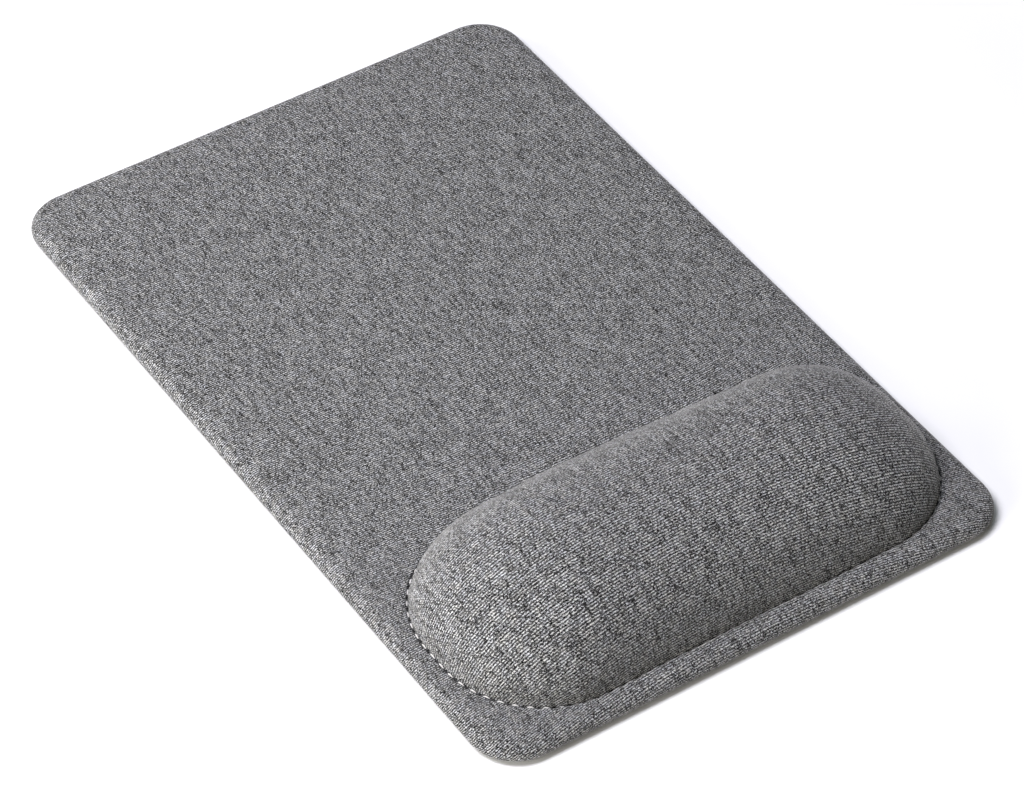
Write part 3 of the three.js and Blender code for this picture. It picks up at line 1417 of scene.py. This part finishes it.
@dataclass
class KnitCover:
    """The cover: one cloth from the rest's crest over the seam, the pad and the rim to the hem beneath."""

    pad: PadSizes = field(default_factory=PadSizes)
    rest: RestSizes = field(default_factory=RestSizes)
    seam: SeamSizes = field(default_factory=SeamSizes)
    lay: ClothLay = field(default_factory=ClothLay)
    press: PressedCloth = field(default_factory=PressedCloth)
    ridge_steps: int = 60
    crown_rings: int = 50
    flat_rings: int = 14
    rim_rings: int = 16
    hem_rings: int = 4
    crown_start: float = 0.027
    crown_evenness: float = 0.6
    flat_evenness: float = 0.45
    press_margin: int = 4
    hold_ring: int = 4
    hold_cosine: float = 0.6
    line_hold: float = 0.6
    rim_samples: int = 200
    rest_shares: tuple[float, ...] = (-1, -0.5, -0.16, 0.16, 0.4, 0.7, 0.88, 1)
    edge_shares: tuple[float, ...] = (-1, -0.86, -0.763, -0.672, -0.45, 0.35, 0.86, 1)

    def __post_init__(self) -> None:
        """Works out the ring numbers at which each zone of the cloth ends."""
        self.line = SeamLine(self.rest, self.seam)
        self.seam_end = self.crown_rings + self.seam.rings
        self.land = self.seam_end + self.flat_rings
        self.rim_end = self.land + self.rim_rings
        self.grid = NestedGrid(self.ridge_steps, self.rim_end + self.hem_rings)

    def crown_share(self, ring: Points) -> Points:
        """The angle share of each crown ring, with finer steps near the foot."""
        t = graded(np.clip((self.crown_rings - ring) / self.crown_rings, 0, 1), self.crown_evenness)
        return self.rest.even_shares(self.crown_start + (1 - self.crown_start) * t)

    def edge_place(self, at: Place) -> Place:
        """The place on the pad's own edge that faces a place on the rest, which lies off the middle."""
        share = np.interp(at.share, self.rest_shares, self.edge_shares)
        return at._replace(share=np.where(at.across, at.share, share))

    def stitch_place(self, at: Place) -> Points:
        """The place along the seam counted in stitches, whole at each needle hole."""
        return self.line.around(at) * self.seam.stitches - self.seam.first_hole

    def away(self, points: Points, at: Place) -> Points:
        """How far points are from the seam's floor at their places."""
        return np.linalg.norm(points - self.line.floor(at), axis=1)

    def places(self, steps: Steps) -> Points:
        """Where each grid point lies on the cover.

        Args:
            steps: the steps of the grid's vertices.

        Returns:
            One row of three coordinates for each point.
        """
        ring, at = self.grid.polar(steps)
        edge = self.edge_place(at)
        crown = self.line.crown(at, self.crown_share(ring))
        seam = self.line.section(at, np.clip(ring - self.crown_rings - 1.0, 0, self.seam.rings - 1))
        lip = self.line.section(at, np.full(len(ring), self.seam.rings - 1.0))
        t = graded(through(ring, self.seam_end, self.flat_rings), self.flat_evenness)
        flat = lip + (self.pad.top.points(edge) - lip) * t[:, None]
        sunk = np.exp(-((np.linalg.norm(flat - lip, axis=1) / self.seam.lip_reach) ** 2))
        flat[:, 2] = self.pad.top_level + (lip[:, 2] - self.pad.top_level) * sunk

        rim = self.pad.inset(*self.pad.rim(through(ring, self.land, self.rim_rings))).points(edge)
        under = self.pad.rim_bottom_depth
        folded = through(ring, self.rim_end, self.hem_rings) * (self.pad.hem_width - under)
        hem = self.pad.inset(under + folded, self.pad.hem_level).points(edge)

        zone = np.digitize(ring, (self.crown_rings, self.seam_end, self.land, self.rim_end), right=True)
        places = np.choose(zone[:, None], [crown, seam, flat, rim, hem])
        return self.pad.eased(places, through(ring, self.crown_rings, self.seam.rings) ** 2)

    def puckered(self, points: Points, normals: Points, steps: Steps) -> Points:
        """Draws the cloth in at each needle hole and lets it swell between them.

        Args:
            points: the cover's vertices.
            normals: their directions.
            steps: their steps on the grid.

        Returns:
            The vertices after that.
        """
        ring, at = self.grid.polar(steps)
        near = np.exp(-((self.away(points, at) / self.seam.pucker_reach) ** 2)) * (ring < self.rim_end)
        wave = -np.cos(TURN * self.stitch_place(at))
        return points + normals * (self.seam.pucker * near * wave)[:, None]

    def write_seam_map(self, mesh: bpy.types.Mesh, points: Points, steps: Steps) -> None:
        """Maps each place to its count of stitches along the seam and its distance from the seam's floor.

        Args:
            mesh: the cover's mesh.
            points: its vertices.
            steps: their steps on the grid.
        """
        at = self.grid.polar(steps)[1]
        write_map(mesh, "seam", np.stack([self.stitch_place(at), self.away(points, at)], -1))
        layer = mesh.uv_layers["seam"].uv
        flat = np.zeros(len(mesh.loops) * 2, np.float32)
        layer.foreach_get("vector", flat)
        counts = flat.reshape(-1, 4, 2)[:, :, 0]
        half = self.seam.stitches / 2
        counts += self.seam.stitches * ((np.ptp(counts, axis=1, keepdims=True) > half) & (counts < half))
        layer.foreach_set("vector", flat)

    def cloth_places(self, points: Points, steps: Steps) -> Points:
        """Finds where the cloth of every vertex lay before it was stretched.

        Args:
            points: the cover's vertices.
            steps: their steps on the grid.

        Returns:
            Flat-cloth places in metres.
        """
        ring, at = self.grid.polar(steps)
        edge = self.edge_place(at)
        land = self.pad.top.points(edge)
        held = self.grid.table(steps, ring.astype(float)) >= self.land
        start = self.grid.table(steps, points[:, :2])
        start[held] = self.lay.pulled(self.grid.table(steps, land))[held]
        flat = self.lay.solve(self.grid.table(steps, points), held, start)[self.grid.cells(steps)]
        depth, level = self.pad.rim(np.linspace(0, 1, self.rim_samples))
        rim_run = float(np.hypot(np.diff(depth), np.diff(level)).sum())
        fold = self.pad.hem_width - self.pad.rim_bottom_depth
        past = through(ring, self.land, self.rim_rings) * rim_run
        past = past + through(ring, self.rim_end, self.hem_rings) * fold
        unrolled = self.lay.pulled(land) + (self.pad.top.grown(past).points(edge) - land)[:, :2]
        return np.where((ring >= self.land)[:, None], unrolled, flat)

    def build(self, finish: KnitFinish) -> None:
        """Makes the cover.

        Args:
            finish: the knit.
        """
        obj, steps = self.grid.sheet("knit_cover")
        write_points(obj.data, self.places(steps))
        points = self.puckered(read_points(obj.data), read_points(obj.data, Reading.NORMALS), steps)
        write_points(obj.data, points)
        points = self.pressed(points, steps)
        write_points(obj.data, points)
        write_map(obj.data, "cloth", self.cloth_places(points, steps))
        self.write_seam_map(obj.data, points, steps)
        dress(obj, finish.material(), "top_cover")

    def pressed(self, points: Points, steps: Steps) -> Points:
        """Lets the foam press the cloth out over the rest.

        Args:
            points: the cover's vertices.
            steps: their steps on the grid.

        Returns:
            The vertices after the press.
        """
        part = NestedGrid(self.ridge_steps, self.seam_end + self.press_margin)
        obj, part_steps = part.sheet("press_sheet")
        table = self.grid.table(steps, points)
        cells = self.grid.cells(part_steps)
        write_points(obj.data, table[cells])
        ring, at = part.polar(part_steps)
        hole = np.cos(TURN * self.stitch_place(at)) > self.hold_cosine
        line = np.abs(ring - self.crown_rings - self.hold_ring) <= 1
        firm = (ring >= self.seam_end - 1) | (hole & line)
        moved = np.zeros_like(table)
        moved[cells] = self.press.run(obj, np.where(firm, 1.0, np.where(line, self.line_hold, 0.0)))
        bpy.data.objects.remove(obj)
        return points + moved[self.grid.cells(steps)]


class Ends(Enum):
    """What becomes of a loft's first and last rings."""

    CAPPED = "capped"
    JOINED = "joined"


def ring_loft(name: str, rings: Points, ends: Ends = Ends.CAPPED) -> bpy.types.Object:
    """Makes a solid through rings of points, by extruding a circle's edges from ring to ring.

    Args:
        name: the new object's name.
        rings: the points, by ring, point and coordinate.
        ends: whether the first and last rings each get a face or join each other.

    Returns:
        The new object.
    """
    maker = bmesh.new()
    first_loop = bmesh.ops.create_circle(maker, segments=rings.shape[1], radius=1.0)["verts"]
    first_edges = list(maker.edges)
    loop, edges = first_loop, first_edges
    for vert, place in zip(loop, rings[0]):
        vert.co = place
    for places in rings[1:]:
        made = bmesh.ops.extrude_edge_only(maker, edges=edges)["geom"]
        fresh = {item for item in made if isinstance(item, bmesh.types.BMVert)}
        edges = [item for item in made if isinstance(item, bmesh.types.BMEdge)]
        edges = [edge for edge in edges if fresh.issuperset(edge.verts)]
        beside = ({edge.other_vert(old) for edge in old.link_edges} for old in loop)
        loop = [(others & fresh).pop() for others in beside]
        for vert, place in zip(loop, places):
            vert.co = place
    if ends is Ends.JOINED:
        bmesh.ops.bridge_loops(maker, edges=edges + first_edges)
    else:
        for end in (first_loop, loop):
            bmesh.ops.contextual_create(maker, geom=end)
    bmesh.ops.recalc_face_normals(maker, faces=maker.faces)
    return mesh_object(name, maker)


@dataclass
class SeamThreads:
    """The lockstitch: a pale thread that shows as a dash on every stitch, and its mate under the cover."""

    line: SeamLine = field(default_factory=SeamLine)
    sides: int = 8
    steps: int = 14
    crest: float = 0.24 * MM
    shown_half: float = 0.19
    shown_drop: float = 0.42 * MM
    deepest: float = -0.75 * MM
    mate_level: float = -1.0 * MM
    mate_lift: float = 0.15 * MM
    drop_ease: float = 0.8

    def needle_rise(self, place: Points) -> Points:
        """The needle thread's height over the seam's floor.

        Args:
            place: places along the seam, counted in stitches.

        Returns:
            The height at each place. The thread shows as a hump between two holes and dives at each of them.
        """
        drop = self.shown_drop * (((place % 1) - 0.5) / self.shown_half) ** 2
        return self.crest - drop / (1 + drop / (self.crest - self.deepest) * self.drop_ease)

    def mate_rise(self, place: Points) -> Points:
        """The lower thread's height. The needle thread lifts it a little at each hole."""
        return self.mate_level + self.mate_lift * np.cos(TURN * place)

    def tube(self, name: str, rise: Callable[[Points], Points]) -> bpy.types.Object:
        """Makes one closed thread.

        Args:
            name: the new object's name.
            rise: its height at places counted in stitches.

        Returns:
            The thread, with its map.
        """
        seam = self.line.seam
        count = seam.stitches * self.steps
        around = np.arange(count) / count
        path = self.line.floor(self.line.at(around))
        path[:, 2] += rise(around * seam.stitches - seam.first_hole)
        forward = np.roll(path, -1, 0) - np.roll(path, 1, 0)
        length = np.linalg.norm(forward, axis=1)
        forward /= length[:, None]
        side = np.cross(forward, [0, 0, 1.0])
        side /= np.linalg.norm(side, axis=1)[:, None]
        top = np.cross(side, forward)
        turn = np.arange(self.sides) / self.sides * 2 * math.pi
        round_it = side[:, None] * np.cos(turn)[:, None] + top[:, None] * np.sin(turn)[:, None]
        obj = ring_loft(name, path[:, None] + round_it * (seam.thread / 2), Ends.JOINED)
        way = np.concatenate([[0], np.cumsum(length / 2)])[:count]
        along = np.repeat(way, self.sides)
        write_map(obj.data, "thread", np.stack([along, np.tile(turn / TURN, count)], -1))
        return obj

    def build(self, finish: ThreadFinish) -> None:
        """Makes both threads.

        Args:
            finish: the thread's finish.
        """
        material = finish.material()
        for name, node, rise in (
            ("seam_stitches", "needle_thread", self.needle_rise),
            ("seam_under_thread", "bobbin_thread", self.mate_rise),
        ):
            dress(self.tube(name, rise), material, node)


@dataclass
class RestCushion:
    """The foam cushion inside the rest, one cover's thickness within the cloth."""

    line: SeamLine = field(default_factory=SeamLine)
    cover: float = 0.8 * MM
    gap: float = GLUE_GAP
    around_steps: int = 160
    rings: int = 30
    last_run: float = 0.995

    def build(self, finish: FoamFinish) -> None:
        """Makes the cushion.

        Args:
            finish: the foam.
        """
        less = self.cover + self.gap
        rest = self.line.rest
        smaller = replace(
            rest,
            foot_half_x=rest.foot_half_x - less,
            foot_half_y=rest.foot_half_y - less,
            corner_radius=rest.corner_radius - less,
            height=rest.height - less,
        )
        inner = SeamLine(smaller, self.line.seam)
        at = self.line.at(np.arange(self.around_steps) / self.around_steps)
        shares = smaller.even_shares(np.linspace(0, self.last_run, self.rings))
        rings = np.array([inner.crown(at, np.full(self.around_steps, share)) for share in shares])
        obj = ring_loft("rest_cushion", rings)
        dress(obj, finish.material(), "wrist_cushion")


@dataclass
class FoamSlab:
    """The thin foam sheet under the whole cover, with softly rounded upper edges."""

    pad: PadSizes = field(default_factory=PadSizes)
    top_level: float = 4.45 * MM
    gap: float = GLUE_GAP
    edge_share: float = 0.75
    side_steps: int = 50
    edge_rings: int = 10

    def build(self, finish: FoamFinish) -> None:
        """Makes the slab.

        Args:
            finish: the foam.
        """
        pad = self.pad
        angle = np.linspace(0, QUARTER, self.edge_rings)
        depths = pad.cover_thickness + self.gap + pad.rim_top_depth * self.edge_share * (1 - np.cos(angle))
        levels = pad.foam_level + (self.top_level - pad.foam_level) * np.sin(angle)
        share = np.arange(self.side_steps) / self.side_steps * 2 - 1
        sides = ((False, 1.0, share), (True, 1.0, -share), (False, -1.0, -share), (True, -1.0, share))
        across, sign = (np.repeat([side[column] for side in sides], self.side_steps) for column in (0, 1))
        at = Place(across, sign, np.concatenate([side[2] for side in sides]))
        rings = np.array([pad.inset(*ring).points(at) for ring in zip(depths, levels)])
        obj = ring_loft("pad_foam_slab", rings)
        dress(obj, finish.material(), "pad_foam")


@dataclass(frozen=True)
class Lamp:
    """A soft square lamp that faces the pad. Its azimuth turns from +X towards +Y.

    A lamp with "only" lights that one CAD node, through the floor.
    """

    name: str
    azimuth: float
    elevation: float
    distance: float
    size: float
    power: float
    color: Color
    only: str = ""

    def hang(self) -> None:
        """Adds the lamp to the scene."""
        data = bpy.data.lights.new(self.name, "AREA")
        data.shape, data.size, data.energy, data.color = "SQUARE", self.size, self.power, self.color
        lamp = new_object(self.name, data)
        aim(lamp, (self.azimuth, self.elevation, self.distance))
        if self.only:
            group = bpy.data.collections.new(self.name)
            group.objects.link(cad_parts[self.only])
            lamp.light_linking.receiver_collection = group
            lamp.light_linking.blocker_collection = group


LAMPS = (
    Lamp("key_high_left", 175, 65, 0.75, 0.4, 6.65, (0.94, 0.925, 1.0)),
    Lamp("low_back_left", 135, 15, 0.75, 0.4, 2.7, (0.98, 0.99, 0.97)),
    Lamp("low_left", 195, 15, 0.75, 0.4, 4.15, (1.0, 0.975, 0.91)),
    Lamp("top", 0, 89, 1.5, 0.7, 3.1, (0.80, 0.90, 1.0)),
    Lamp("front_fill", 275, 15, 1.5, 0.7, 1.75, (1.0, 0.93, 0.64)),
    Lamp("underside", 30, -35, 1.5, 0.7, 30.0, (1.0, 1.0, 1.0), only="base_sheet"),
)


@dataclass
class Studio:
    """The camera at the photograph's angle, a pale floor that fades to white far off, and soft light.

    The floor has no lower face, so the underside shows in views from below. The camera's azimuth turns as a
    lamp's does.
    """

    azimuth: float = -123.5738
    elevation: float = 44.2263
    distance: float = 1.06883
    target: Spot = (-0.00216, -0.01040, 0.001)
    lens: float = 150.0
    sensor: float = 36.0
    clip: tuple[float, float] = (0.05, 20.0)
    floor_half: float = 3.0
    floor_shade: Color = (0.9, 0.9, 0.9)
    white: Color = (1.0, 1.0, 1.0)
    fade_start: float = 0.17
    fade_end: float = 0.42
    world_strength: float = 0.03

    def camera(self) -> None:
        """Sets the camera up."""
        data = bpy.data.cameras.new("camera")
        data.lens, data.sensor_width = self.lens, self.sensor
        data.clip_start, data.clip_end = self.clip
        camera = new_object("camera", data)
        aim(camera, (self.azimuth, self.elevation, self.distance), self.target)
        bpy.context.scene.camera = camera

    def floor(self) -> None:
        """Lays the floor."""
        maker = bmesh.new()
        bmesh.ops.create_grid(maker, x_segments=1, y_segments=1, size=self.floor_half)
        obj = mesh_object("floor", maker)
        build = MaterialBuild("pale_floor")
        seen = build.seen_directly()
        x, y, _ = build.place()
        far = ((x * x + y * y) ** 0.5).smooth(self.fade_start, self.fade_end) * seen
        lower_face = build.node("NewGeometry", {}, {}, "Backfacing") * seen
        material = build.finish(
            Base_Color=build.mix(seen, self.floor_shade, self.white),
            Roughness=0.9,
            Specular_IOR_Level=0.0,
            Alpha=1.0 - lower_face,
            Emission_Color=build.vector(far, far, far),
            Emission_Strength=1.0,
        )
        obj.data.materials.append(material)

    def light(self) -> None:
        """Hangs the lamps and sets the world."""
        for lamp in LAMPS:
            lamp.hang()
        world = bpy.data.worlds.new("world")
        bpy.context.scene.world = world
        build = NodeBuild(world)
        sky = build.tree.nodes["Background"]
        build.feed(sky.inputs["Color"], (*self.white, 1.0))
        strength = build.seen_directly() * (1.0 - self.world_strength) + self.world_strength
        build.feed(sky.inputs["Strength"], strength)

    def build(self) -> None:
        """Sets the whole studio up."""
        self.camera()
        self.floor()
        self.light()
        bpy.context.scene.view_settings.view_transform = "Standard"


def main() -> None:
    """Builds the studio and every piece in order."""
    logging.basicConfig(level=logging.INFO, format="%(name)s: %(message)s")
    Studio().build()
    cover = KnitCover()
    cover.build(KnitFinish())
    SeamThreads(cover.line).build(ThreadFinish())
    RestCushion(cover.line).build(OPEN_CELLS)
    FoamSlab(cover.pad).build(CLOSED_CELLS)
    for name, finish in (("base_sheet", GripFinish()), ("backing_board", BoardFinish())):
        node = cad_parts[name]
        node.data.materials.clear()
        node.data.materials.append(finish.material())
        report(node)


if __name__ == "__main__":
    main()
